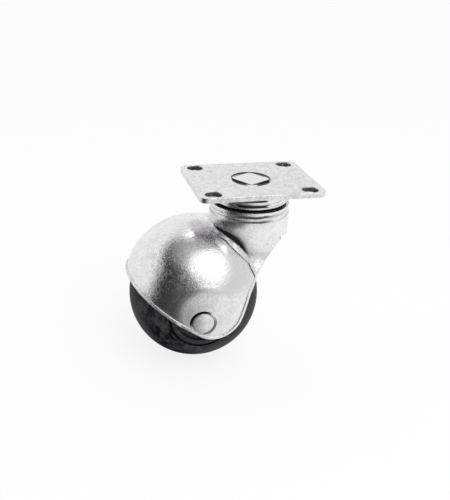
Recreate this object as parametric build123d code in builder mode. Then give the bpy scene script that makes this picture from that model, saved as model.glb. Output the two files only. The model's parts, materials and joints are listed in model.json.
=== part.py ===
from build123d import *
from math import cos, pi, radians, sin
import os

# Ball castor: a fixing plate on a double ball race, a pressed hood and one ball wheel.
# The plate's top face is z = 0 and the swivel axis is the z axis.
# Everything that swivels is drawn in a frame that is turned as the castor stands at rest:
# "ahead" runs from the swivel axis towards the wheel, "aside" runs along the axle.

# Clearances
shank_fit = 0.05
run_gap = 0.3
race_play = 0.1
bond_gap = 0.05
wheel_play = 1.5
skirt_play = 0.5
ball_side_play = 0.42
ball_space = 0.55

# Top plate
hole_pitch_length = 36.5
hole_pitch_width = 30.2
hole_dia = 6.2
hole_edge_round = 0.3
plate_end_land = 2.45
plate_side_land = 0.85
plate_thick = 2.0
plate_corner = 3.0
plate_edge_round = 0.35

# Kingpin, riveted over the plate and under the lower race
kingpin_dia = 10.0
kingpin_head_land = 0.6
kingpin_head_corner = 1.9
kingpin_head_round = 0.35
kingpin_turn = -13.5
kingpin_sink = 0.1
kingpin_foot_land = 2.0
kingpin_foot_thick = 2.2
kingpin_foot_round = 1.2
recess_land = 2.5
recess_depth = 1.1

# Ball races
cup_dia = 28.4
cup_wall = 1.2
cup_skirt = 4.25
cup_flange_land = 0.7
cup_flange_thick = 0.7
cup_bead = 0.5
cup_bead_stand = 0.3
cup_bead_pitch = 1.35
race_depth = 0.35
upper_ball_dia = 4.76
lower_ball_dia = 4.0
lower_ring_land = 1.0
lower_cup_wall = 1.2
lower_cup_floor = 1.4
lower_cup_side = 2.0

# Swivel position at rest, wheel and axle
rest_angle = 4.6
trail = 20.75
wheel_dia = 50.8
wheel_top_drop = 21.25
axle_dia = 6.0
rivet_head_land = 1.3
rivet_head_thick = 1.4
rivet_head_round = 0.65
washer_land = 2.6
washer_thick = 0.8
bush_wall = 1.2

# Hood: dome, with its cheeks pressed flat round the axle's pockets
dome_rise = 3.0
dome_setback = 0.6
hood_wall = 1.3
cheek_press = 1.8
cheek_blend = 7.5
pocket_play = 0.65
pocket_depth = 1.2
rim_stand = 0.3
rim_width = 1.05
crease_slope = 43.5
crease_share = 0.839

# Hood: side outline of the dome, its corners placed by shares of the dome's radius
front_edge_slope = 32.2
edge_land = 0.25
lug_slope = 69.5
lug_back_share = 0.5
lug_corner_round = 11.0
lug_waist_up_share = 0.193
lug_waist_round = 6.0
tail_back_share = 0.762
tail_up_share = 0.378
tail_round = 1.5
seam_bend_back_share = 0.571
seam_bend_up_share = 0.75
seam_bend_round = 20.0
seam_end_back_share = 0.199
seam_end_up_share = 0.965

# Hood: neck and crown
crown_step = 1.0
crown_gap = 1.05
crown_height = 3.95
crown_rim_height = 1.15
crown_groove = 0.4
crown_bead = 0.5
crown_bead_drop = 2.25
web_thick = 2.0
crown_cavity_bevel = 2.2
crown_cavity_step = 0.15
neck_front_land = 0.2
neck_top_tuck = 0.5
neck_upper_tuck = 1.8
neck_waist_tuck = 3.6
neck_lower_tuck = 2.2
neck_foot_flare = 0.4
neck_upper_drop = 4.5
neck_waist_drop = 10.2
neck_lower_drop = 16.2
neck_foot_land = 2.9
neck_skirt_drop = 8.9
neck_skirt_back = 12.0
neck_bend_back = 4.6
neck_bend_drop = 16.3
neck_bend_round = 9.0
relief_notch_dia = 1.6

# Ball wheel
core_dia = 22.7
core_face_drop = 0.3
core_rib_dia = 34.0
core_rib_width = 14.0
core_rib_bevel = 2.0
core_rim_land = 1.75
core_dish_depth = 1.1
hub_dia = 13.2
hub_taper = 0.6
tyre_groove_width = 0.9
tyre_groove_depth = 0.9

# Widths that follow from the sizes above
plate_length = hole_pitch_length + hole_dia + 2 * plate_end_land
plate_width = hole_pitch_width + hole_dia + 2 * plate_side_land
recess_dia = kingpin_dia + 2 * recess_land
kingpin_head_side = kingpin_dia + 2 * kingpin_head_land
kingpin_foot_dia = kingpin_dia + 2 * kingpin_foot_land
cup_radius = cup_dia / 2
cup_inner_radius = cup_radius - cup_wall
upper_ball_radius = upper_ball_dia / 2
lower_ball_radius = lower_ball_dia / 2
upper_ring_radius = cup_inner_radius - ball_side_play - upper_ball_radius
lower_ring_radius = kingpin_dia / 2 + lower_ring_land + lower_ball_radius
upper_ball_count = int(2 * pi * upper_ring_radius / (upper_ball_dia + ball_space))
lower_ball_count = int(2 * pi * lower_ring_radius / (lower_ball_dia + ball_space))
crown_radius = cup_radius + crown_step
crown_pan_radius = cup_inner_radius - skirt_play
rivet_head_dia = axle_dia + 2 * rivet_head_land
washer_dia = axle_dia + 2 * washer_land
pocket_dia = rivet_head_dia + 2 * pocket_play

# Heights down the swivel axis
cup_floor_z = -plate_thick - cup_wall
cup_foot_z = cup_floor_z - cup_skirt
upper_ball_z = cup_floor_z + race_depth - upper_ball_radius
pan_top_z = upper_ball_z - upper_ball_radius + race_depth
web_under_z = pan_top_z - web_thick
lower_ball_z = web_under_z + race_depth - run_gap - lower_ball_radius
lower_floor_z = lower_ball_z - lower_ball_radius + race_depth
lower_foot_z = lower_floor_z - lower_cup_floor
crown_top_z = cup_foot_z - crown_gap
crown_foot_z = crown_top_z - crown_height

# Steps outwards along the axle
wheel_radius = wheel_dia / 2
dome_radius = wheel_radius + wheel_play + hood_wall
cheek_aside = dome_radius - cheek_press
pocket_floor = cheek_aside - pocket_depth
rivet_face = pocket_floor + rivet_head_thick
boss_face = pocket_floor - hood_wall
washer_face = boss_face - washer_thick
hub_face = washer_face - run_gap

# The turned frame of the parts that swivel
axle_drop = wheel_top_drop + wheel_radius
ahead = Vector(-cos(radians(rest_angle)), sin(radians(rest_angle)), 0)
aside = Vector(-sin(radians(rest_angle)), -cos(radians(rest_angle)), 0)
up = Vector(0, 0, 1)
axle_point = ahead * trail - up * axle_drop
dome_point = axle_point - ahead * dome_setback + up * dome_rise
dome_ahead = trail - dome_setback
dome_z = dome_rise - axle_drop
side_plane = Plane(origin=(0, 0, 0), x_dir=ahead, z_dir=ahead.cross(up))
wheel_plane = Plane(origin=axle_point, x_dir=ahead, z_dir=up)
dome_plane = Plane(origin=dome_point, x_dir=ahead, z_dir=up)
axle_line = Axis(axle_point, aside)
dome_line = Axis(dome_point, aside)
hood_reach = 2 * dome_radius


# A level plane at height z, turned with the parts that swivel
def level(z):
    return Plane(origin=(0, 0, z), x_dir=ahead, z_dir=up)


# A point of the side outline, given from the dome's centre in shares of its radius
def from_dome(back_share, up_share):
    return (dome_ahead - back_share * dome_radius, dome_z + up_share * dome_radius)


# The corner of a sketch that lies at a point
def corner_at(sketch, point):
    return sketch.vertices().sort_by_distance(Vector(point[0], point[1], 0))[0]


# Half of the dome's outer section, grown by an amount: round, with flat cheeks blended in
def dome_section(grown):
    with BuildSketch(dome_plane) as section:
        Circle(dome_radius + grown)
        Rectangle(2 * hood_reach, 2 * (cheek_aside + grown), mode=Mode.INTERSECT)
        fillet(section.vertices(), cheek_blend + grown)
        Rectangle(hood_reach, 2 * hood_reach, align=(Align.MIN, Align.CENTER), mode=Mode.INTERSECT)
    return section.sketch


# Top plate: corner holes for screws, and a round recess for the kingpin's head
with BuildPart() as top_plate:
    with BuildSketch(Plane.XY.offset(-plate_thick)):
        RectangleRounded(plate_length, plate_width, plate_corner)
    extrude(amount=plate_thick)
    plate_rims = top_plate.faces().filter_by(Axis.Z).edges()
    fillet(plate_rims, plate_edge_round)
    with GridLocations(hole_pitch_length, hole_pitch_width, 2, 2):
        Hole(hole_dia / 2)
    hole_rims = top_plate.edges().filter_by(GeomType.CIRCLE).group_by(Axis.Z)[-1]
    fillet(hole_rims, hole_edge_round)
    with Locations((0, 0, 0)):
        CounterBoreHole(kingpin_dia / 2 + shank_fit, recess_dia / 2, recess_depth)

# Kingpin: its top is spread into a rounded square that wedges in the recess
with BuildPart() as kingpin:
    with BuildSketch(Plane.XY.offset(-recess_depth)):
        with Locations(Rotation(0, 0, kingpin_turn + 45)):
            RectangleRounded(kingpin_head_side, kingpin_head_side, kingpin_head_corner)
    extrude(amount=recess_depth - kingpin_sink)
    fillet(kingpin.faces().sort_by(Axis.Z)[-1].edges(), kingpin_head_round)
    with BuildSketch(Plane.XY.offset(lower_foot_z)):
        Circle(kingpin_dia / 2)
    extrude(amount=-recess_depth - lower_foot_z)
    with BuildSketch(Plane.XY.offset(lower_foot_z - kingpin_foot_thick)):
        Circle(kingpin_foot_dia / 2)
    extrude(amount=kingpin_foot_thick)
    fillet(kingpin.faces().sort_by(Axis.Z)[0].edges(), kingpin_foot_round)

# Upper race cup: an upturned pressing whose beaded skirt hangs over the crown
bead_ahead = cup_radius - cup_bead + cup_bead_stand
with BuildPart() as upper_race_cup:
    with BuildSketch(Plane.XZ):
        with BuildLine():
            Polyline(
                (kingpin_dia / 2 + shank_fit, -plate_thick),
                (cup_radius + cup_flange_land, -plate_thick),
                (cup_radius + cup_flange_land, -plate_thick - cup_flange_thick),
                (cup_radius, -plate_thick - cup_flange_thick),
                (cup_radius, cup_foot_z),
                (cup_inner_radius, cup_foot_z),
                (cup_inner_radius, cup_floor_z),
                (kingpin_dia / 2 + shank_fit, cup_floor_z),
                close=True,
            )
        make_face()
        with Locations(
            (bead_ahead, cup_foot_z + cup_bead),
            (bead_ahead, cup_foot_z + cup_bead + cup_bead_pitch),
        ):
            Circle(cup_bead)
        with Locations((upper_ring_radius, upper_ball_z)):
            Circle(upper_ball_radius + race_play, mode=Mode.SUBTRACT)
    revolve(axis=Axis.Z)

# Two rings of balls, one each side of the hood's web
with BuildPart(Plane.XY.offset(upper_ball_z)) as upper_race_balls:
    with PolarLocations(upper_ring_radius, upper_ball_count):
        Sphere(upper_ball_radius)

with BuildPart(Plane.XY.offset(lower_ball_z)) as lower_race_balls:
    with PolarLocations(lower_ring_radius, lower_ball_count):
        Sphere(lower_ball_radius)

# Lower race cup: carried by the kingpin's foot
lower_cup_inner = lower_ring_radius + lower_ball_radius + run_gap
with BuildPart() as lower_race_cup:
    with BuildSketch(Plane.XZ):
        with BuildLine():
            Polyline(
                (kingpin_dia / 2 + shank_fit, lower_foot_z),
                (lower_cup_inner + lower_cup_wall, lower_foot_z),
                (lower_cup_inner + lower_cup_wall, lower_floor_z + lower_cup_side),
                (lower_cup_inner, lower_floor_z + lower_cup_side),
                (lower_cup_inner, lower_floor_z),
                (kingpin_dia / 2 + shank_fit, lower_floor_z),
                close=True,
            )
        make_face()
        with Locations((lower_ring_radius, lower_ball_z)):
            Circle(lower_ball_radius + race_play, mode=Mode.SUBTRACT)
    revolve(axis=Axis.Z)

# Side outline of the dome: front edge close under the axle's pocket, a rounded lug,
# a waist up to the tail, and the seam that runs up and over to the crown
edge_below = pocket_dia / 2 + edge_land
edge_along = (cos(radians(front_edge_slope)), sin(radians(front_edge_slope)))
edge_start = (trail + edge_below * edge_along[1], -axle_drop - edge_below * edge_along[0])
edge_front = (edge_start[0] + hood_reach * edge_along[0], edge_start[1] + hood_reach * edge_along[1])
lug_back = lug_back_share * dome_radius
lug_along = (-cos(radians(lug_slope)), sin(radians(lug_slope)))
lug_side = (trail - lug_back * lug_along[1], -axle_drop + lug_back * lug_along[0])
turn = edge_along[0] * lug_along[1] - edge_along[1] * lug_along[0]
gap_ahead = lug_side[0] - edge_start[0]
gap_up = lug_side[1] - edge_start[1]
corner_run = (gap_ahead * lug_along[1] - gap_up * lug_along[0]) / turn
lug_corner = (edge_start[0] + corner_run * edge_along[0], edge_start[1] + corner_run * edge_along[1])
lug_waist_z = dome_z + lug_waist_up_share * dome_radius
waist_run = (lug_waist_z - lug_side[1]) / lug_along[1]
lug_waist = (lug_side[0] + waist_run * lug_along[0], lug_waist_z)
tail = from_dome(tail_back_share, tail_up_share)
seam_bend = from_dome(seam_bend_back_share, seam_bend_up_share)
seam_end = from_dome(seam_end_back_share, seam_end_up_share)
roof_z = dome_z + hood_reach

with BuildSketch(side_plane) as dome_outline:
    with BuildLine():
        Polyline(
            edge_front,
            lug_corner,
            lug_waist,
            tail,
            seam_bend,
            seam_end,
            (seam_end[0], roof_z),
            (edge_front[0], roof_z),
            close=True,
        )
    make_face()
    fillet(corner_at(dome_outline, lug_corner), lug_corner_round)
    fillet(corner_at(dome_outline, lug_waist), lug_waist_round)
    fillet(corner_at(dome_outline, tail), tail_round)
    fillet(corner_at(dome_outline, seam_bend), seam_bend_round)

# The field inside the rim: an even step in from that outline, and cut straight by the
# seam's crease, so the rim swells in the middle of the seam
crease_away = crease_share * dome_radius
with BuildSketch(side_plane) as rim_field:
    add(dome_outline.sketch_local)
    offset(amount=-rim_width, mode=Mode.REPLACE)
    with Locations(Location((dome_ahead, dome_z, 0), (0, 0, crease_slope))):
        with Locations((0, crease_away)):
            Rectangle(2 * hood_reach, 2 * hood_reach, align=(Align.CENTER, Align.MAX), mode=Mode.INTERSECT)

with BuildSketch(side_plane) as rim_outline:
    add(dome_outline.sketch_local)
    add(rim_field.sketch_local, mode=Mode.SUBTRACT)

# Side outline of the neck: an open skirt at the back, then its edge falls to the tail
skirt_z = crown_foot_z - neck_skirt_drop
neck_bend = (-neck_bend_back, crown_foot_z - neck_bend_drop)
with BuildSketch(side_plane) as neck_outline:
    with BuildLine():
        Polyline(
            (hood_reach, crown_top_z),
            (-hood_reach, crown_top_z),
            (-hood_reach, skirt_z),
            (-neck_skirt_back, skirt_z),
            neck_bend,
            tail,
            (hood_reach, tail[1]),
            close=True,
        )
    make_face()
    fillet(corner_at(neck_outline, neck_bend), neck_bend_round)

# Dome, its raised rim, and the room for the wheel inside it
dome_skin = dome_section(0)
rim_skin = dome_section(rim_stand)

with BuildPart() as dome_form:
    revolve(dome_skin, axis=dome_line)
    extrude(dome_outline.sketch, amount=hood_reach, both=True, mode=Mode.INTERSECT)

with BuildPart() as rim_form:
    revolve(rim_skin, axis=dome_line)
    extrude(rim_outline.sketch, amount=hood_reach, both=True, mode=Mode.INTERSECT)

with BuildPart() as wheel_room:
    with BuildSketch(dome_plane):
        Circle(dome_radius - hood_wall)
        room_wide = 2 * (cheek_aside - hood_wall)
        Rectangle(hood_reach, room_wide, align=(Align.MIN, Align.CENTER), mode=Mode.INTERSECT)
    revolve(axis=dome_line)

# Neck: oval sections, pinched at the cheeks between the crown and the tail
neck_half_length = crown_radius + neck_front_land
neck_sections = (
    (crown_foot_z, crown_radius - neck_top_tuck),
    (crown_foot_z - neck_upper_drop, crown_radius - neck_upper_tuck),
    (crown_foot_z - neck_waist_drop, crown_radius - neck_waist_tuck),
    (crown_foot_z - neck_lower_drop, crown_radius - neck_lower_tuck),
    (tail[1] - neck_foot_land, crown_radius + neck_foot_flare),
)

with BuildPart() as neck_form:
    for section_z, half_width in neck_sections:
        with BuildSketch(level(section_z)):
            Ellipse(neck_half_length, half_width)
    loft()
    extrude(neck_outline.sketch, amount=hood_reach, both=True, mode=Mode.INTERSECT)

with BuildPart() as neck_hollow:
    for section_z, half_width in neck_sections:
        with BuildSketch(level(section_z)):
            Ellipse(neck_half_length - hood_wall, half_width - hood_wall)
    loft()

# Crown: a raised pan inside the cup's skirt, a shoulder with a rim, and a bead
crown_body = crown_radius - crown_groove
with BuildPart() as crown_form:
    with BuildSketch(side_plane):
        with BuildLine():
            Polyline(
                (0, pan_top_z),
                (crown_pan_radius, pan_top_z),
                (crown_pan_radius, crown_top_z),
                (crown_radius, crown_top_z),
                (crown_radius, crown_top_z - crown_rim_height),
                (crown_body, crown_top_z - crown_rim_height - crown_groove),
                (crown_body, crown_foot_z),
                (0, crown_foot_z),
                close=True,
            )
        make_face()
        with Locations((crown_radius - crown_bead, crown_top_z - crown_bead_drop)):
            Circle(crown_bead)
        with Locations((upper_ring_radius, upper_ball_z)):
            Circle(upper_ball_radius + run_gap, mode=Mode.SUBTRACT)
    revolve(axis=Axis.Z)

cavity_radius = crown_radius - neck_top_tuck - hood_wall - crown_cavity_step
with BuildPart() as crown_hollow:
    with BuildSketch(side_plane):
        with BuildLine():
            Polyline(
                (0, web_under_z),
                (cavity_radius - crown_cavity_bevel, web_under_z),
                (cavity_radius, web_under_z - crown_cavity_bevel),
                (cavity_radius, crown_foot_z),
                (0, crown_foot_z),
                close=True,
            )
        make_face()
        with Locations((lower_ring_radius, lower_ball_z)):
            Circle(lower_ball_radius + run_gap)
    revolve(axis=Axis.Z)

# Axle pockets: round dimples pressed into the cheeks, flat at the bottom
with BuildPart() as cheek_bosses:
    with BuildSketch(wheel_plane):
        with Locations((0, boss_face), (0, -boss_face - dome_radius)):
            Rectangle(pocket_dia / 2 + hood_wall, dome_radius, align=Align.MIN)
    revolve(axis=axle_line)
    add(dome_form.part, mode=Mode.INTERSECT)

with BuildPart() as cheek_pockets:
    with BuildSketch(wheel_plane):
        with Locations((0, pocket_floor), (0, -pocket_floor - dome_radius)):
            Rectangle(pocket_dia / 2, dome_radius, align=Align.MIN)
        Rectangle(axle_dia / 2 + shank_fit, 2 * dome_radius, align=(Align.MIN, Align.CENTER))
    revolve(axis=axle_line)

# Hood: one pressing of dome, neck and crown, open below and at the back
with BuildPart() as hood:
    add(dome_form.part)
    add(rim_form.part)
    add(neck_form.part)
    add(crown_form.part)
    add(wheel_room.part, mode=Mode.SUBTRACT)
    add(neck_hollow.part, mode=Mode.SUBTRACT)
    add(crown_hollow.part, mode=Mode.SUBTRACT)
    add(cheek_bosses.part)
    add(cheek_pockets.part, mode=Mode.SUBTRACT)
    with BuildSketch(side_plane):
        with Locations((-neck_skirt_back, skirt_z)):
            Circle(relief_notch_dia / 2)
    extrude(amount=hood_reach, both=True, mode=Mode.SUBTRACT)
    with Locations((0, 0, web_under_z)):
        Cylinder(kingpin_dia / 2 + run_gap, hood_reach, mode=Mode.SUBTRACT)

# Axle: a rivet through both cheeks, a bush between them and a washer at each end
with BuildPart() as axle_rivet:
    with BuildSketch(wheel_plane):
        Rectangle(axle_dia / 2, 2 * pocket_floor, align=(Align.MIN, Align.CENTER))
        with Locations((0, pocket_floor), (0, -rivet_face)):
            Rectangle(rivet_head_dia / 2, rivet_head_thick, align=Align.MIN)
    revolve(axis=axle_line)
    rivet_faces = axle_rivet.faces().filter_by(Axis(axle_point, aside)).sort_by(axle_line)
    fillet([rivet_faces[0].edges(), rivet_faces[-1].edges()], rivet_head_round)

with BuildPart() as axle_washers:
    with BuildSketch(wheel_plane):
        with Locations((axle_dia / 2 + shank_fit, washer_face), (axle_dia / 2 + shank_fit, -boss_face)):
            Rectangle((washer_dia - axle_dia) / 2 - shank_fit, washer_thick, align=Align.MIN)
    revolve(axis=axle_line)

with BuildPart() as axle_bush:
    with BuildSketch(wheel_plane):
        with Locations((axle_dia / 2 + shank_fit, 0)):
            Rectangle(bush_wall, 2 * washer_face, align=(Align.MIN, Align.CENTER))
    revolve(axis=axle_line)

# Wheel core: a moulded drum with a locking rib, a dished side and a hub round the bush
core_radius = core_dia / 2
bore_radius = axle_dia / 2 + shank_fit + bush_wall + run_gap
core_face = (wheel_radius**2 - core_radius**2) ** 0.5 - core_face_drop
dish_floor = core_face - core_dish_depth
rib_radius = core_rib_dia / 2
rib_half = core_rib_width / 2
with BuildPart() as wheel_core:
    with BuildSketch(wheel_plane):
        with BuildLine():
            Polyline(
                (bore_radius, 0),
                (bore_radius, hub_face),
                (hub_dia / 2, hub_face),
                (hub_dia / 2 + hub_taper, dish_floor),
                (core_radius - core_rim_land, dish_floor),
                (core_radius - core_rim_land, core_face),
                (core_radius, core_face),
                (core_radius, rib_half),
                (rib_radius, rib_half - core_rib_bevel),
                (rib_radius, 0),
                close=True,
            )
        make_face()
        mirror(about=Plane.XZ)
    revolve(axis=axle_line)

# Tyre: the round tread, moulded over the core, with a groove round each side
groove_foot = core_face + core_face_drop - tyre_groove_depth
with BuildPart() as wheel_tyre:
    with BuildSketch(wheel_plane):
        Circle(wheel_radius)
        with BuildLine():
            Polyline(
                (-wheel_radius, 0),
                (-wheel_radius, wheel_radius),
                (core_radius + tyre_groove_width, wheel_radius),
                (core_radius + tyre_groove_width, groove_foot),
                (core_radius + bond_gap, groove_foot),
                (core_radius + bond_gap, rib_half + bond_gap),
                (rib_radius + bond_gap, rib_half - core_rib_bevel + bond_gap),
                (rib_radius + bond_gap, 0),
                close=True,
            )
        core_room = make_face(mode=Mode.PRIVATE)
        add(core_room, mode=Mode.SUBTRACT)
        add(core_room.mirror(Plane.XZ), mode=Mode.SUBTRACT)
    revolve(axis=axle_line)

# Write each piece
pieces = {
    "top_plate": top_plate,
    "kingpin": kingpin,
    "upper_race_cup": upper_race_cup,
    "upper_race_balls": upper_race_balls,
    "lower_race_balls": lower_race_balls,
    "lower_race_cup": lower_race_cup,
    "hood": hood,
    "axle_rivet": axle_rivet,
    "axle_washers": axle_washers,
    "axle_bush": axle_bush,
    "wheel_core": wheel_core,
    "wheel_tyre": wheel_tyre,
}
os.makedirs("parts", exist_ok=True)
for label, piece in pieces.items():
    piece.part.label = label
    export_step(piece.part, f"parts/{label}.step")
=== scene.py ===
import bpy
import json
from math import cos, pi, radians, sin
from mathutils import Matrix, Vector


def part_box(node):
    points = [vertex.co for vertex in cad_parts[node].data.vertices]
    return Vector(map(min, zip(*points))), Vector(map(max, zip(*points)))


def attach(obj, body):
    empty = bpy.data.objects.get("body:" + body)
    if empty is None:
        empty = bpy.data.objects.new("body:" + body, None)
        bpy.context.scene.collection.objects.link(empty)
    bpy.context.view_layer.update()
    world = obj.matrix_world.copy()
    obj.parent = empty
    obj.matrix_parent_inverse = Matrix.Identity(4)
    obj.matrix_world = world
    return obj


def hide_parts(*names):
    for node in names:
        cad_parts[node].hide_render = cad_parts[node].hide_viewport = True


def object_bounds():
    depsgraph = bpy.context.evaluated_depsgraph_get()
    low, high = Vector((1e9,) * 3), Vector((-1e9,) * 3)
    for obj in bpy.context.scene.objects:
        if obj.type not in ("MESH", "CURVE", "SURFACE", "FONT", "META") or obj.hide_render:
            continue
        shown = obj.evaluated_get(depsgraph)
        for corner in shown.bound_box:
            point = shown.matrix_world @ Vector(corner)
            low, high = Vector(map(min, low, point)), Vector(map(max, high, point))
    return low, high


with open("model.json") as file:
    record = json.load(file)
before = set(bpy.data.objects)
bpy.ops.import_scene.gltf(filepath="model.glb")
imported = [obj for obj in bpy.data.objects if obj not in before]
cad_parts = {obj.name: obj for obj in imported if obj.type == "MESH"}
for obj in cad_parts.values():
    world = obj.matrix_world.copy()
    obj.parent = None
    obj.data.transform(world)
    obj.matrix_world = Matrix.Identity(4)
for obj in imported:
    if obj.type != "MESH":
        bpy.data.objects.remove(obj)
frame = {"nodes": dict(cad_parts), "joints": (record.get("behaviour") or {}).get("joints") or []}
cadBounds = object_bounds()
nodes = frame["nodes"]
mm = 0.001
print("frame loaded:", len(nodes), "nodes")

# The photograph's camera, in the castor's own frame
photoCamera = {
    "place": (-78.73, -246.41, 87.67),      # mm
    "pitch": 24.52,      # degrees down
    "yaw": 15.84,        # degrees towards +X
    "roll": 2.63,
    "lens": 51.72,
    "sensor": 36.0,
    "clip": (0.01, 20),      # metres
}


def addCamera(values):
    yaw, pitch, roll = (radians(values[name]) for name in ("yaw", "pitch", "roll"))
    ahead = Vector((sin(yaw) * cos(pitch), cos(yaw) * cos(pitch), -sin(pitch)))
    levelRight = Vector((cos(yaw), -sin(yaw), 0))
    levelUp = levelRight.cross(ahead)
    right = levelRight * cos(roll) + levelUp * sin(roll)
    up = levelUp * cos(roll) - levelRight * sin(roll)
    data = bpy.data.cameras.new("photoCamera")
    data.lens = values["lens"]
    data.sensor_width = values["sensor"]
    data.clip_start, data.clip_end = values["clip"]
    camera = bpy.data.objects.new("photoCamera", data)
    bpy.context.scene.collection.objects.link(camera)
    turn = Matrix((right, up, -ahead)).transposed()
    camera.matrix_world = Matrix.Translation(Vector(values["place"]) * mm) @ turn.to_4x4()
    bpy.context.scene.camera = camera


addCamera(photoCamera)
bpy.context.scene.view_settings.view_transform = "Standard"
print("camera placed")


class Value:     # a shader socket that Python sums can use
    def __init__(self, maker, socket):
        self.maker = maker
        self.socket = socket

    def __add__(self, other):
        return self.maker.math("ADD", self, other)

    def __sub__(self, other):
        return self.maker.math("SUBTRACT", self, other)

    def __rsub__(self, other):
        return self.maker.math("SUBTRACT", other, self)

    def __mul__(self, other):
        return self.maker.math("MULTIPLY", self, other)

    def __truediv__(self, other):
        return self.maker.math("DIVIDE", self, other)

    def __abs__(self):
        return self.maker.math("ABSOLUTE", self)

    __radd__ = __add__
    __rmul__ = __mul__


class Maker:     # adds nodes to a tree: type, then settings, then what its sockets get
    def __init__(self, tree):
        self.tree = tree

    def add(self, kind, settings=None, inputs=None, output=0):
        node = self.tree.nodes.new(kind)
        for name, setting in (settings or {}).items():
            if name == "stops":
                ramp = node.color_ramp
                while len(ramp.elements) < len(setting):
                    ramp.elements.new(1)
                for element, (place, shade) in zip(ramp.elements, setting):
                    element.position = place
                    element.color = (shade, shade, shade, 1)
            else:
                setattr(node, name, setting)
        for name, given in (inputs or {}).items():
            if isinstance(given, Value):
                self.tree.links.new(given.socket, node.inputs[name])
            else:
                node.inputs[name].default_value = given
        return Value(self, node.outputs[output])

    def math(self, operation, first, second=0.0):
        return self.add("ShaderNodeMath", {"operation": operation}, {0: first, 1: second})

    def vectors(self, operation, first, second=(0, 0, 0), output=0):
        kind = "ShaderNodeVectorMath"
        return self.add(kind, {"operation": operation}, {0: first, 1: second}, output)

    def mixColor(self, share, first, second):
        def rgba(color):
            return color if isinstance(color, Value) else (*color, 1)
        inputs = {0: share, 6: rgba(first), 7: rgba(second)}
        return self.add("ShaderNodeMix", {"data_type": "RGBA"}, inputs, 2)

    def ease(self, value, low, high):    # 0 below low, 1 above high, smooth between
        inputs = {"Value": value, "From Min": low, "From Max": high}
        return self.add("ShaderNodeMapRange", {"interpolation_type": "SMOOTHSTEP"}, inputs)

    def easeMm(self, value, low, high):    # the same for a length, its limits in mm
        return self.ease(value, low * mm, high * mm)

    def dot(self, first, second):
        return self.vectors("DOT_PRODUCT", first, second, "Value")

    def between(self, first, second):    # the vector from first to second
        return self.vectors("SUBTRACT", second, first)

    def length(self, vector):
        return self.vectors("LENGTH", vector, output="Value")

    def ripples(self, away, pitch):    # rings that many mm apart
        return self.math("SINE", away * (2 * pi / (pitch * mm)))

    def noise(self, point, size, detail=2.0, rough=0.5, twist=0.0):    # size in mm
        inputs = {"Vector": point, "Scale": 1 / (size * mm), "Detail": detail,
                  "Roughness": rough, "Distortion": twist}
        return self.add("ShaderNodeTexNoise", None, inputs)

    def stretched(self, point, turns, scales):
        inputs = {"Vector": point, "Rotation": [radians(turn) for turn in turns], "Scale": scales}
        return self.add("ShaderNodeMapping", None, inputs)

    def hairline(self, noise, middle, width):    # 1 along a noise's level line, 0 elsewhere
        return 1 - self.ease(abs(noise - middle), 0.0, width)


class Finish(Maker):     # a material whose patterns lie on Object coordinates
    def __init__(self, name):
        self.material = bpy.data.materials.new(name)
        self.material.use_nodes = True
        super().__init__(self.material.node_tree)
        self.shader = self.tree.nodes["Principled BSDF"]
        self.point = self.add("ShaderNodeTexCoord", output="Object")

    def along(self, middle, direction):    # metres from middle in that direction
        return self.dot(self.between(tuple(middle), self.point), tuple(direction))

    def fromPoint(self, middle):
        return self.length(self.between(tuple(middle), self.point))

    def fromLine(self, middle, direction):    # metres from the line through middle
        arm = self.between(tuple(middle), self.point)
        along = self.dot(arm, tuple(direction))
        return self.math("SQRT", self.dot(arm, arm) - along * along)

    def window(self, value, low, high, soft):    # 1 between low and high, in mm
        return self.easeMm(value, low - soft, low) * self.easeMm(value, high + soft, high)

    def crevice(self, reach, low, high):    # 1 deep in a gap, 0 in the open
        inputs = {"Distance": reach * mm}
        light = self.add("ShaderNodeAmbientOcclusion", {"samples": 8}, inputs, "AO")
        return 1 - self.ease(light, low, high)

    def rounded(self, radius):
        return self.add("ShaderNodeBevel", {"samples": 6}, {"Radius": radius * mm})

    def bump(self, height, normal):      # height in metres
        inputs = {"Height": height, "Strength": 1.0, "Distance": 1.0, "Normal": normal}
        return self.add("ShaderNodeBump", None, inputs)

    def close(self, **sockets):
        for name, given in sockets.items():
            socket = self.shader.inputs[name.replace("_", " ")]
            if isinstance(given, Value):
                self.tree.links.new(given.socket, socket)
            else:
                socket.default_value = given
        return self.material


def paint(names, material):
    for name in names:
        nodes[name].data.materials.clear()
        nodes[name].data.materials.append(material)


# The castor's own lines: the axle from the frame's joints, and the hood's dome on them
domeShape = {"setback": 0.6, "rise": 3.0, "radius": 28.2}      # mm, from the axle

origin = Vector((0, 0, 0))
upward = Vector((0, 0, 1))
joints = {joint["name"]: joint for joint in frame["joints"]}
axlePoint = Vector(joints["wheel_spin"]["pos_m"])
axleAside = Vector(joints["wheel_spin"]["axis"]).normalized()
ahead = Vector((axlePoint.x, axlePoint.y, 0)).normalized()      # from the kingpin to the wheel
domeMiddle = axlePoint - ahead * domeShape["setback"] * mm + upward * domeShape["rise"] * mm
toCamera = Vector(photoCamera["place"]) * mm - axlePoint
towardCamera = Vector((toCamera.x, toCamera.y, 0)).normalized()
rightOfCamera = Vector((-towardCamera.y, towardCamera.x, 0))


def heightOf(make):
    return make.along(origin, upward)


def frontOf(make, low, high):    # 1 on a round wall's side towards the camera, in mm
    return make.easeMm(make.along(origin, towardCamera), low, high)


def sidePlace(aheadPlace, height):    # a point of the castor's side view, in mm
    return ahead * aheadPlace * mm + upward * height * mm


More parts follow.
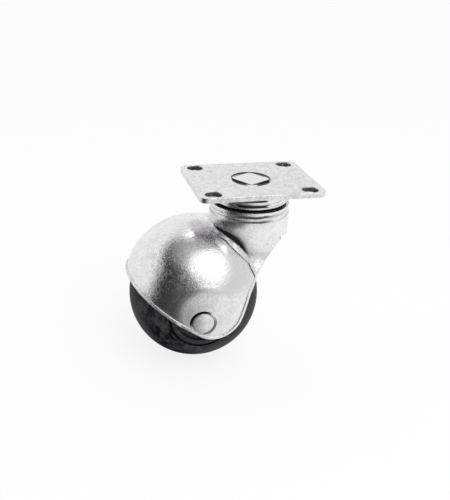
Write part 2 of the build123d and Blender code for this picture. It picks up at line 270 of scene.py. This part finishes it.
# Bright zinc on pressed steel. Noises: size in mm, detail, roughness and distortion.
# Depths and radii are in mm.
zincLook = {
    "bright": (0.89, 0.88, 0.89),
    "dull": (0.80, 0.795, 0.805),
    # the dark colour for grime and for painted shade
    "grimeAndShade": (0.012, 0.012, 0.013),
    "clouds": (7.0, 4.0, 0.6, 0.4),
    "specks": (0.8, 3.0, 0.7),
    "speckShare": 0.6,      # of the spangle; clouds are the rest
    "spangle": (0.42, 0.62),
    "grain": (0.5, 2.0, 0.6),
    "waves": (6.0, 1.0),
    "scratches": (2.4, 2.0),
    "scratchTurn": (20, 35, 10),
    "scratchStretch": (1, 1, 0.08),
    "scratchWidth": 0.005,
    "scratchPatches": (0.5, 0.6),
    "grainDepth": 0.03,
    "speckDepth": 0.0,
    "waveDepth": 0.015,
    "scratchDepth": 0.004,
    "roughness": 0.09,
    "roughSpread": 0.2,
    "grimeAndShadeRough": 0.25,
    "grimeAndShadeMatt": 0.9,
    "wornRough": 0.5,
    "wornMatt": 0.9,
    "edgeRound": 0.22,
    "crevice": (2.2, 0.1, 0.62),      # reach in mm, then how much light is deep and is open
}


def zincFinish(name, look, shadeAndGrimeMarks, shape=None, worn=None):
    make = Finish(name)
    clouds = make.noise(make.point, *look["clouds"])
    specks = make.noise(make.point, *look["specks"])
    grain = make.noise(make.point, *look["grain"])
    waves = make.noise(make.point, *look["waves"])
    share = look["speckShare"]
    spangle = make.ease(specks * share + clouds * (1 - share), *look["spangle"])
    drawn = make.stretched(make.point, look["scratchTurn"], look["scratchStretch"])
    scratches = make.hairline(make.noise(drawn, *look["scratches"]), 0.5, look["scratchWidth"])
    scratches = scratches * make.ease(clouds, *look["scratchPatches"])
    # the colour darkens in gaps: painted crevice shade from the AO, plus each piece's painted
    # shade and grime
    grimeAndShade = make.math("MINIMUM", shadeAndGrimeMarks(make, make.crevice(*look["crevice"]), specks), 1.0)
    pale = make.mixColor(spangle, look["bright"], look["dull"])
    color = make.mixColor(grimeAndShade, pale, look["grimeAndShade"])
    rough = spangle * look["roughSpread"] + grimeAndShade * look["grimeAndShadeRough"] + look["roughness"]
    metal = 1 - grimeAndShade * look["grimeAndShadeMatt"]
    if worn:
        matt = worn(make) * (1 - grimeAndShade)
        rough = rough + matt * look["wornRough"]
        metal = metal - matt * look["wornMatt"]
    height = grain * look["grainDepth"] * mm + waves * look["waveDepth"] * mm
    height = height + specks * look["speckDepth"] * mm - scratches * look["scratchDepth"] * mm
    if shape:
        height = height + shape(make)
    normal = make.bump(height, make.rounded(look["edgeRound"]))
    return make.close(Base_Color=color, Metallic=metal, Roughness=rough, Normal=normal)


# Hood: painted shade in the seam where dome and neck meet, in the crown's gap and at the tail's
# notch, painted dark reflection bands on the crown's front, a painted shadow at the rivet's
# pocket, the seam's rim raised and the cheek slightly crowned. Places are in mm.
# A span along the seam has its two ends and how soft they are.
hoodLook = zincLook | {
    "specks": (0.95, 3.0, 0.7),
    "speckDepth": 0.075,
    "spangle": (0.46, 0.56),
    "edgeRound": 0.35,
    "roughness": 0.06,
    "roughSpread": 0.27,
    "seamSlope": 43.5,      # degrees
    "seamPoint": (7.6, -23.3),      # on the crease: ahead of the kingpin, and height
    "seamRagged": 1.1,
    "shadeInner": (1.85, 1.2, 10.5),      # rise over the crease, its place along it, half length
    "shadeOuter": (4.7, -1.2, 9.8),
    "innerEdge": (-0.15, 0.2),
    "outerEdge": (0.3, -1.8),
    "outerHaze": (2.6, -0.4),
    "shadeShare": 0.9,
    "hazeShare": 0.2,
    "shadeSpan": (-8.5, 8.0, 1.5),
    "unshadedEdge": (-1.2, -0.6),
    "unshadedSpan": (-12.0, 14.0, 2.0),
    "unshadedShare": 0.7,
    "creviceShadeHeight": (-34.0, -30.0),
    "seamTilt": 0.48,
    "tiltReach": 2.4,
    "tiltSpan": (-7.0, 7.0, 3.0),
    "seamDent": 0.62,
    "dentEdge": (-2.9, -0.2),
    "dentSpan": (-7.5, -4.0, 2.5),
    "domeSkin": (0.75, 0.45),      # over the dome's radius
    "crownBands": [(-10.45, -9.75), (-12.5, -11.8)],
    "crownFront": (11.5, 14.6),
    "crownShare": 0.9,
    "bandSoft": 0.25,
    "streaks": (5.0, 2.0),
    "streakStretch": (1, 1, 3),
    "streakReach": 0.8,
    "gapEdge": (13.9, 13.7),
    "gapHeight": (-12.5, -12.0),
    "pocketEdge": (5.15, 4.95),
    "pocketShadeCut": 0.8,
    "shadowReach": 2.8,
    "notchPlace": (-11.6, -21.4),
    "notchEdge": (1.0, 0.5),
    "wornHeight": (-32.0, -35.0),
    "rimFoot": (0.03, 0.08),      # over the dome's radius
    "rimTop": (0.2, 0.27),
    "rimWear": 0.8,
    "topWear": 0.3,      # how much of that wear is on the rim's top
    "cheekCrown": 1.1,
    "cheekReach": 13.0,
}


def shadowSide(make):    # the painted shadow at the rivet pocket's upper front
    upperFront = ahead * 0.62 + upward * 0.78
    return make.easeMm(make.along(axlePoint, upperFront), 0.0, hoodLook["shadowReach"])


def seamPlaces(make):    # metres along the seam's crease and outside it, seen from the side
    slope = radians(hoodLook["seamSlope"])
    place = sidePlace(*hoodLook["seamPoint"])
    down = 0 - make.along(place, ahead * cos(slope) + upward * sin(slope))
    return down, make.along(place, upward * cos(slope) - ahead * sin(slope))


def lensEdge(down, rise, middle, half):    # in mm outside the crease
    share = (down / mm - middle) / half
    return (1 - share * share) * rise


def seamShade(make, specks, look):    # the seam's painted shade, and where the crevice shade is lifted off the rim
    down, outside = seamPlaces(make)
    outside = outside / mm + (specks - 0.5) * look["seamRagged"]
    inner = outside - lensEdge(down, *look["shadeInner"])
    outer = outside - lensEdge(down, *look["shadeOuter"])
    shadeAndGrimeMarks = make.ease(outer, *look["outerEdge"]) * look["shadeShare"]
    shadeAndGrimeMarks = shadeAndGrimeMarks + make.ease(outer, *look["outerHaze"]) * look["hazeShare"]
    shadeAndGrimeMarks = make.ease(inner, *look["innerEdge"]) * shadeAndGrimeMarks * make.window(down, *look["shadeSpan"])
    unshaded = make.ease(outside, *look["unshadedEdge"]) * make.window(down, *look["unshadedSpan"])
    return shadeAndGrimeMarks, unshaded * look["unshadedShare"]


def hoodShadeAndGrime(make, grimeAndShade, specks):
    look = hoodLook
    height = heightOf(make)
    seam, unshaded = seamShade(make, specks, look)
    # painted crevice shade, kept above a height and lifted along the seam's rim
    grimeAndShade = grimeAndShade * make.easeMm(height, *look["creviceShadeHeight"]) * (1 - unshaded)
    drawn = make.stretched(make.point, (0, 0, 0), look["streakStretch"])
    streaks = (make.noise(drawn, *look["streaks"]) - 0.5) * look["streakReach"]
    greaseAndBandShade = 0.0
    # painted dark reflection bands on the crown's side towards the camera
    for bandLow, bandHigh in look["crownBands"]:
        greaseAndBandShade = greaseAndBandShade + make.window(height + streaks * mm, bandLow, bandHigh, look["bandSoft"])
    greaseAndBandShade = greaseAndBandShade * frontOf(make, *look["crownFront"]) * look["crownShare"]
    # painted shade in the gap between the crown and the cup
    inside = make.easeMm(make.fromLine(origin, upward), *look["gapEdge"])
    gapShade = inside * make.easeMm(height, *look["gapHeight"])
    # crevice shade is cut in the pocket; a painted shadow goes on its upper front instead
    pocket = make.easeMm(make.fromLine(axlePoint, axleAside), *look["pocketEdge"])
    grimeAndShade = grimeAndShade * (1 - pocket * look["pocketShadeCut"])
    # a painted dark spot for the shade inside the tail's notch, which is not modelled
    notchPlace = sidePlace(*look["notchPlace"])
    notchShade = make.easeMm(make.fromLine(notchPlace, axleAside), *look["notchEdge"])
    return grimeAndShade + seam + greaseAndBandShade + gapShade + pocket * shadowSide(make) + notchShade


def hoodWorn(make):    # the lower rim, rubbed matt
    look = hoodLook
    stand = make.fromPoint(domeMiddle) / mm - domeShape["radius"]
    low = make.easeMm(heightOf(make), *look["wornHeight"])
    wall = 1 - make.ease(stand, *look["rimTop"])
    wear = wall * (1 - look["topWear"]) + look["topWear"]
    return make.ease(stand, *look["rimFoot"]) * low * wear * look["rimWear"]


def hoodShape(make):
    look = hoodLook
    down, outside = seamPlaces(make)
    raised = make.math("MINIMUM", outside, look["tiltReach"] * mm)
    raised = make.math("MAXIMUM", raised, 0.0) * look["seamTilt"]
    raised = raised * make.window(down, *look["tiltSpan"])
    dented = make.easeMm(outside, *look["dentEdge"]) * look["seamDent"] * mm
    dented = dented * make.window(down, *look["dentSpan"])
    away = make.fromPoint(domeMiddle)
    skinHigh, skinLow = look["domeSkin"]
    onDome = make.easeMm(away, domeShape["radius"] + skinHigh, domeShape["radius"] + skinLow)
    arm = make.along(domeMiddle, axleAside)
    ring = make.math("SQRT", make.math("MAXIMUM", away * away - arm * arm, 0.0))
    crowned = 1 - make.easeMm(ring, 0.0, look["cheekReach"])
    return (raised + dented) * onDome + crowned * look["cheekCrown"] * mm


# Race cups: painted dark reflection bands between the beads, on the side towards the camera, and
# painted shade inside
cupLook = zincLook | {
    "grainDepth": 0.004,
    "edgeRound": 0.15,
    "bands": [(-6.6, -5.6), (-4.5, -3.2)],
    "bandSoft": 0.2,
    "front": (12.6, 13.4),
    "innerEdge": (13.6, 13.5),
}


def cupShadeAndGrime(make, grimeAndShade, specks):
    height = heightOf(make)
    greaseAndBandShade = 0.0
    for bandLow, bandHigh in cupLook["bands"]:
        greaseAndBandShade = greaseAndBandShade + make.window(height, bandLow, bandHigh, cupLook["bandSoft"])
    inside = make.easeMm(make.fromLine(origin, upward), *cupLook["innerEdge"])
    return grimeAndShade + greaseAndBandShade * frontOf(make, *cupLook["front"]) + inside


# Top plate: painted shade inside the holes and the recess, and a painted shadow crescent before
# the kingpin's head
plateLook = zincLook | {
    "bright": (0.86, 0.85, 0.86),
    "dull": (0.66, 0.655, 0.665),
    "clouds": (3.0, 4.0, 0.6, 0.4),
    "waveDepth": 0.006,
    "roughness": 0.22,
    "below": (-0.3, -0.6),
    "holePlace": (18.25, 15.1),
    "holeEdge": (3.45, 3.25),
    "holeShare": 0.95,
    "holeSpots": (0.60, 0.66),
    "spotShare": 0.8,
    "front": (-1.0, 1.5),
    "recessEdge": (7.6, 7.5),
    "recessShare": 0.95,
    "farArcShade": (-0.5, -0.05, 0.1),
    "crescentShift": 1.5,
    "crescentEdge": (7.55, 7.3),
    "crescentGap": (1.6, 2.4),
}


def plateShadeAndGrime(make, grimeAndShade, specks):
    look = plateLook
    height = heightOf(make)
    below = make.easeMm(height, *look["below"])
    along, across = look["holePlace"]
    corner = make.vectors("ABSOLUTE", make.point)      # the four holes lie alike
    arm = make.between((along * mm, across * mm, 0), corner)
    fromHole = make.length(make.vectors("MULTIPLY", arm, (1, 1, 0)))
    spots = make.ease(specks, *look["holeSpots"]) * look["spotShare"]
    holeShade = below * make.easeMm(fromHole, *look["holeEdge"]) * (look["holeShare"] - spots)
    inside = make.easeMm(make.fromLine(origin, upward), *look["recessEdge"])
    front = frontOf(make, *look["front"])
    farArcShade = (1 - front) * make.window(height, *look["farArcShade"])
    recessShade = inside * (front * below * look["recessShare"] + farArcShade)
    shifted = make.fromPoint(towardCamera * look["crescentShift"] * mm)
    crescentShade = make.easeMm(shifted, *look["crescentEdge"]) * (1 - inside)
    crescentShade = crescentShade * make.easeMm(abs(make.along(origin, rightOfCamera)), *look["crescentGap"])
    return grimeAndShade * (1 - inside) + holeShade + recessShade + crescentShade


paint(["hood"], zincFinish("hoodZinc", hoodLook, hoodShadeAndGrime, hoodShape, hoodWorn))
paint(["top_plate"], zincFinish("plateZinc", plateLook, plateShadeAndGrime))
paint(["upper_race_cup", "lower_race_cup"], zincFinish("cupZinc", cupLook, cupShadeAndGrime))
print("zinc pressings finished")

# Kingpin and axle: upset steel ends, with the marks that the riveting die left
rivetLook = zincLook | {
    "grain": (0.5, 3.0, 0.65),
    "crevice": (1.32, 0.12, 0.6),
    "dents": (1.6, 3.0, 0.6),
    "dullPatches": (0.4, 0.62),
    "dentDepth": 0.06,
    "ringPitch": 0.55,
    "ringDepth": 0.004,
    "crown": 0.28,      # slope at the head's edge
    "crownReach": 4.3,
    "wallEdge": (3.85, 4.05),
    "grimeAndShadeShare": 0.2,
}
kingpinLook = rivetLook | {
    "roughness": 0.2,
    "crown": 0.05,
    "headTurn": -13.5,      # degrees
    "sideEdge": (4.95, 5.1),
    "below": (-0.35, -0.6),
    "front": (-1.0, 1.5),
}


def rivetFinish(name, look, middle, aside, shadeAndGrimeMarks):
    make = Finish(name)
    dents = make.noise(make.point, *look["dents"])
    grain = make.noise(make.point, *look["grain"])
    away = make.fromLine(middle, aside)
    rings = make.ripples(away, look["ringPitch"])
    dullness = make.ease(dents, *look["dullPatches"])
    grimeAndShade = make.math("MINIMUM", shadeAndGrimeMarks(make, make.crevice(*look["crevice"])), 1.0)
    pale = make.mixColor(dullness, look["bright"], look["dull"])
    color = make.mixColor(grimeAndShade, pale, look["grimeAndShade"])
    metal = 1 - grimeAndShade * look["grimeAndShadeMatt"]
    rough = dullness * look["roughSpread"] + grimeAndShade * look["grimeAndShadeRough"] + look["roughness"]
    height = rings * look["ringDepth"] + dents * look["dentDepth"] + grain * look["grainDepth"]
    crowned = away * away * (look["crown"] / (2 * look["crownReach"] * mm))
    normal = make.bump(height * mm - crowned, make.rounded(look["edgeRound"]))
    return make.close(Base_Color=color, Metallic=metal, Roughness=rough, Normal=normal)


def rivetShadeAndGrime(make, grimeAndShade):
    # painted shadow in the groove round the head, on the pocket's upper front, with a share of
    # crevice shade
    wall = make.easeMm(make.fromLine(axlePoint, axleAside), *rivetLook["wallEdge"])
    return (grimeAndShade * rivetLook["grimeAndShadeShare"] + wall) * shadowSide(make)


def kingpinShadeAndGrime(make, grimeAndShade):    # painted shade below the head's edge, and along its two front sides
    look = kingpinLook
    front = frontOf(make, *look["front"])
    sides = make.easeMm(heightOf(make), *look["below"]) * front
    for swing in (-45, 45):
        turn = radians(look["headTurn"] - 90 + swing)
        facing = Vector((cos(turn), sin(turn), 0))
        sides = sides + make.easeMm(make.along(origin, facing), *look["sideEdge"])
    return grimeAndShade * front + sides


axleSteel = rivetFinish("rivetZinc", rivetLook, axlePoint, axleAside, rivetShadeAndGrime)
paint(["axle_rivet", "axle_washers"], axleSteel)
paint(["kingpin"], rivetFinish("kingpinZinc", kingpinLook, origin, upward, kingpinShadeAndGrime))
print("rivets finished")

# Ball wheel: dusty black tread round a moulded core, on a steel bush
tyreLook = {
    "black": (0.005, 0.005, 0.006),
    "dust": (0.085, 0.085, 0.097),
    "paintedShadeBlack": (0.004, 0.004, 0.004),
    "patches": (5.0, 5.0, 0.65, 0.6),
    "specks": (1.1, 4.0, 0.7),
    "rubbed": (2.0, 3.0, 0.6),
    "rubTurn": (15, 0, 40),
    "rubStretch": (1, 1, 0.15),
    "shares": (0.45, 0.35, 0.2),      # of patches, specks and rubbed marks in the dust
    "dusty": (0.44, 0.58),
    "dustShare": 0.8,
    "dustRough": 0.3,
    "crevice": (7.0, 0.35, 1.0),
    "creviceRough": 0.5,
    "speckDepth": 0.05,
    "mouldLine": 0.25,
    "mouldDepth": 0.05,
    "edgeRound": 0.15,
    "roughness": 0.42,
    "gloss": 0.09,
}


def tyreFinish(look):
    make = Finish("tyreRubber")
    patches = make.noise(make.point, *look["patches"])
    specks = make.noise(make.point, *look["specks"])
    drawn = make.stretched(make.point, look["rubTurn"], look["rubStretch"])
    fields = (patches, specks, make.noise(drawn, *look["rubbed"]))
    mixed = sum(field * share for field, share in zip(fields, look["shares"]))
    dust = make.ease(mixed, *look["dusty"])
    # painted shade: the colour goes to black in crevices and next to the hood's edge
    shade = make.crevice(*look["crevice"])
    line = make.easeMm(abs(make.along(axlePoint, axleAside)), look["mouldLine"], 0.0)
    color = make.mixColor(dust * (1 - shade) * look["dustShare"], look["black"], look["dust"])
    color = make.mixColor(shade, color, look["paintedShadeBlack"])
    height = specks * look["speckDepth"] * mm + line * look["mouldDepth"] * mm
    normal = make.bump(height, make.rounded(look["edgeRound"]))
    rough = dust * look["dustRough"] + look["roughness"] + shade * look["creviceRough"]
    return make.close(Base_Color=color, Roughness=rough, Normal=normal,
                      Specular_IOR_Level=look["gloss"])


coreLook = {
    "black": (0.02, 0.02, 0.022),
    "dust": (0.09, 0.09, 0.095),
    "grain": (0.6, 3.0, 0.6),
    "dusting": (3.0, 4.0, 0.6),
    "dusty": (0.5, 0.7),
    "dustShare": 0.6,
    "dustRough": 0.25,
    "ringPitch": 1.1,
    "depth": 0.01,
    "edgeRound": 0.2,
    "roughness": 0.38,
}


def coreFinish(look):
    make = Finish("corePlastic")
    rings = make.ripples(make.fromLine(axlePoint, axleAside), look["ringPitch"])
    grain = make.noise(make.point, *look["grain"])
    dust = make.ease(make.noise(make.point, *look["dusting"]), *look["dusty"])
    color = make.mixColor(dust * look["dustShare"], look["black"], look["dust"])
    normal = make.bump((rings + grain) * look["depth"] * mm, make.rounded(look["edgeRound"]))
    rough = dust * look["dustRough"] + look["roughness"]
    return make.close(Base_Color=color, Roughness=rough, Normal=normal)


bushLook = {
    "steel": (0.5, 0.5, 0.51),
    "worn": (0.66, 0.66, 0.67),
    "wear": (0.8, 3.0),
    "wearTurn": (0, 0, 5),
    "wearStretch": (1, 0.1, 1),
    "wornPatches": (0.4, 0.65),
    "wearRough": 0.15,
    "wearDepth": 0.005,
    "edgeRound": 0.1,
    "roughness": 0.3,
}


def bushFinish(look):
    make = Finish("bushSteel")
    drawn = make.stretched(make.point, look["wearTurn"], look["wearStretch"])
    wear = make.ease(make.noise(drawn, *look["wear"]), *look["wornPatches"])
    color = make.mixColor(wear, look["steel"], look["worn"])
    normal = make.bump(wear * look["wearDepth"] * mm, make.rounded(look["edgeRound"]))
    rough = wear * look["wearRough"] + look["roughness"]
    return make.close(Base_Color=color, Metallic=1.0, Roughness=rough, Normal=normal)


paint(["wheel_tyre"], tyreFinish(tyreLook))
paint(["wheel_core"], coreFinish(coreLook))
paint(["axle_bush"], bushFinish(bushLook))
print("wheel finished")

# Race balls: one Geometry Nodes ring for each race
raceLook = {
    "counts": {"upper_race_balls": 12, "lower_race_balls": 11},
    "segments": 20,
    "steel": (0.56, 0.56, 0.57),
    "grease": (0.09, 0.07, 0.05),
    "greaseAndBandShade": (1.5, 3.0),
    "filmPatches": (0.5, 0.68),
    "filmShare": 0.7,
    "filmMatt": 0.6,
    "filmRough": 0.2,
    "filmDepth": 0.01,
    "edgeRound": 0.05,
    "roughness": 0.08,
}


def ballFinish(look):
    make = Finish("raceSteel")
    greaseAndBandShade = make.ease(make.noise(make.point, *look["greaseAndBandShade"]), *look["filmPatches"])
    color = make.mixColor(greaseAndBandShade * look["filmShare"], look["steel"], look["grease"])
    metal = 1 - greaseAndBandShade * look["filmMatt"]
    rough = greaseAndBandShade * look["filmRough"] + look["roughness"]
    normal = make.bump(greaseAndBandShade * look["filmDepth"] * mm, make.rounded(look["edgeRound"]))
    return make.close(Base_Color=color, Metallic=metal, Roughness=rough, Normal=normal)


def ballRingTree():
    tree = bpy.data.node_groups.new("ballRing", "GeometryNodeTree")
    for name, kind in (("Ring Radius", "NodeSocketFloat"), ("Ball Radius", "NodeSocketFloat"),
                       ("Height", "NodeSocketFloat"), ("Count", "NodeSocketInt"),
                       ("Segments", "NodeSocketInt"), ("Steel", "NodeSocketMaterial")):
        tree.interface.new_socket(name, in_out="INPUT", socket_type=kind)
    tree.interface.new_socket("Geometry", in_out="OUTPUT", socket_type="NodeSocketGeometry")
    make = Maker(tree)
    sizes = tree.nodes.new("NodeGroupInput")

    def size(name):
        return Value(make, sizes.outputs[name])

    ring = make.add("GeometryNodeMeshCircle", None,
                    {"Vertices": size("Count"), "Radius": size("Ring Radius")})
    ball = make.add("GeometryNodeMeshUVSphere", None,
                    {"Segments": size("Segments"), "Rings": size("Segments"),
                     "Radius": size("Ball Radius")})
    smooth = make.add("GeometryNodeSetShadeSmooth", None, {"Geometry": ball})
    balls = make.add("GeometryNodeInstanceOnPoints", None, {"Points": ring, "Instance": smooth})
    lift = make.add("ShaderNodeCombineXYZ", None, {"Z": size("Height")})
    placed = make.add("GeometryNodeTransform", None, {"Geometry": balls, "Translation": lift})
    real = make.add("GeometryNodeRealizeInstances", None, {"Geometry": placed})
    done = make.add("GeometryNodeSetMaterial", None, {"Geometry": real, "Material": size("Steel")})
    tree.links.new(done.socket, tree.nodes.new("NodeGroupOutput").inputs["Geometry"])
    return tree


def addBallRing(node, tree, count, material):
    low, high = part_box(node)
    ballRadius = (high.z - low.z) / 2
    given = {"Ring Radius": high.x - ballRadius, "Ball Radius": ballRadius,
             "Height": (low.z + high.z) / 2, "Count": count,
             "Segments": raceLook["segments"], "Steel": material}
    holder = bpy.data.objects.new(node + "_ring", bpy.data.meshes.new(node + "_start"))
    bpy.context.scene.collection.objects.link(holder)
    modifier = holder.modifiers.new("ballRing", "NODES")
    modifier.node_group = tree
    for socket in tree.interface.items_tree:
        if socket.in_out == "INPUT":
            modifier[socket.identifier] = given[socket.name]
    seen = holder.evaluated_get(bpy.context.evaluated_depsgraph_get())
    holder.data = bpy.data.meshes.new_from_object(seen)
    holder.modifiers.remove(modifier)
    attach(holder, "base")
    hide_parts(node)


ballSteel = ballFinish(raceLook)
ringTree = ballRingTree()
for raceName, raceCount in raceLook["counts"].items():
    addBallRing(raceName, ringTree, raceCount, ballSteel)
print("race balls placed")

# Studio: brightness by direction, in degrees to the right of the camera as the castor sees it
studio = {
    "walls": [(-180, 0.95), (-95, 0.93), (-77, 0.85), (-70, 0.56), (-64, 0.06), (-46, 0.03),
              (-30, 0.07), (-14, 0.11), (0, 0.18), (12, 0.42), (30, 0.68), (100, 0.74),
              (140, 0.84), (180, 0.95)],
    "floor": [(-180, 0.95), (-95, 0.9), (-74, 0.72), (-62, 0.05), (-45, 0.04), (-28, 0.07),
              (-10, 0.17), (6, 0.5), (24, 0.86), (90, 1.0), (140, 0.98), (180, 0.95)],
    "lean": 54,      # degrees that the walls' shades turn left overhead
    "leanRise": (0.5, 0.9),      # as sines of the height angle
    "ceiling": 0.4,
    "ceilingRise": (0.66, 1.04),
    "floorHalf": 3.0,      # metres
    "floorPale": 0.9,
    "floorGlow": 0.84,      # share of the floor's colour that camera and gloss see as even white
    "spots": [
        {"turn": 34, "rise": 51, "inner": 0, "outer": 37, "gain": 1.75},
        {"turn": 170, "rise": 68, "inner": 2, "outer": 11, "gain": 2.1},
        {"turn": -168, "rise": 67, "inner": 2, "outer": 11, "gain": 2.1},
    ],
    "softBox": {"turn": 32, "rise": 50, "away": 0.62, "width": 0.42, "power": 0.9},
}


def toward(turn, rise):    # a direction from its turn and rise in degrees
    level = towardCamera * cos(radians(turn)) + rightOfCamera * sin(radians(turn))
    return level * cos(radians(rise)) + upward * sin(radians(rise))


def sideShade(make, direction, stops, lean=0.0):
    across = make.dot(direction, tuple(rightOfCamera))
    facing = make.dot(direction, tuple(towardCamera))
    turn = make.math("ARCTAN2", across, facing) / (2 * pi) + 0.5 + lean
    placed = [(angle / 360 + 0.5, shade) for angle, shade in stops]
    return make.add("ShaderNodeValToRGB", {"stops": placed}, {"Fac": turn})


def addWorld(values):
    world = bpy.data.worlds.new("studio")
    bpy.context.scene.world = world
    world.use_nodes = True
    make = Maker(world.node_tree)
    direction = make.add("ShaderNodeTexCoord", output="Generated")
    rise = make.add("ShaderNodeSeparateXYZ", None, {0: direction}, "Z")
    lean = make.ease(rise, *values["leanRise"]) * (values["lean"] / 360)
    walls = sideShade(make, direction, values["walls"], lean)
    overhead = make.ease(rise, *values["ceilingRise"])
    room = make.mixColor(overhead, walls, (values["ceiling"],) * 3)
    for spot in values["spots"]:
        facing = make.dot(direction, tuple(toward(spot["turn"], spot["rise"])))
        share = make.ease(facing, cos(radians(spot["outer"])), cos(radians(spot["inner"])))
        room = make.mixColor(share, room, (spot["gain"],) * 3)
    seen = make.add("ShaderNodeLightPath", output="Is Camera Ray")
    color = make.mixColor(seen, room, (1, 1, 1))
    background = world.node_tree.nodes["Background"]
    world.node_tree.links.new(color.socket, background.inputs["Color"])
    background.inputs["Strength"].default_value = 1


def addFloor(values):
    half, z = values["floorHalf"], cadBounds[0].z
    corners = [(-half, -half, z), (half, -half, z), (half, half, z), (-half, half, z)]
    mesh = bpy.data.meshes.new("floor")
    mesh.from_pydata(corners, [], [(0, 1, 2, 3)])
    floor = bpy.data.objects.new("floor", mesh)
    bpy.context.scene.collection.objects.link(floor)
    material = bpy.data.materials.new("paleFloor")
    material.use_nodes = True
    tree = material.node_tree
    tree.nodes.remove(tree.nodes["Principled BSDF"])
    make = Maker(tree)
    place = make.add("ShaderNodeTexCoord", output="Object")
    gloss = make.add("ShaderNodeLightPath", output="Is Glossy Ray")
    seen = make.add("ShaderNodeLightPath", output="Is Camera Ray")
    shown = make.mixColor(seen, (values["floorPale"],) * 3, (1, 1, 1))
    fromWheel = make.between((axlePoint.x, axlePoint.y, z), place)
    tint = make.mixColor(gloss, shown, sideShade(make, fromWheel, values["floor"]))
    even = (seen + gloss) * values["floorGlow"]
    lit = make.add("ShaderNodeBsdfDiffuse", None, {"Color": tint})
    glow = make.add("ShaderNodeEmission", None, {"Color": tint})
    both = make.add("ShaderNodeMixShader", None, {0: even, 1: lit, 2: glow})
    tree.links.new(both.socket, tree.nodes["Material Output"].inputs["Surface"])
    mesh.materials.append(material)


def addLamp(name, values):
    direction = toward(values["turn"], values["rise"])
    data = bpy.data.lights.new(name, "AREA")
    data.shape = "DISK"
    data.size = values["width"]
    data.energy = values["power"]
    lamp = bpy.data.objects.new(name, data)
    bpy.context.scene.collection.objects.link(lamp)
    lamp.location = axlePoint + direction * values["away"]
    lamp.rotation_euler = direction.to_track_quat("Z", "Y").to_euler()
    lamp.visible_camera = False
    lamp.visible_glossy = False      # the world's own soft spots are what the zinc mirrors


addWorld(studio)
addFloor(studio)
addLamp("softBox", studio["softBox"])
print("studio set")
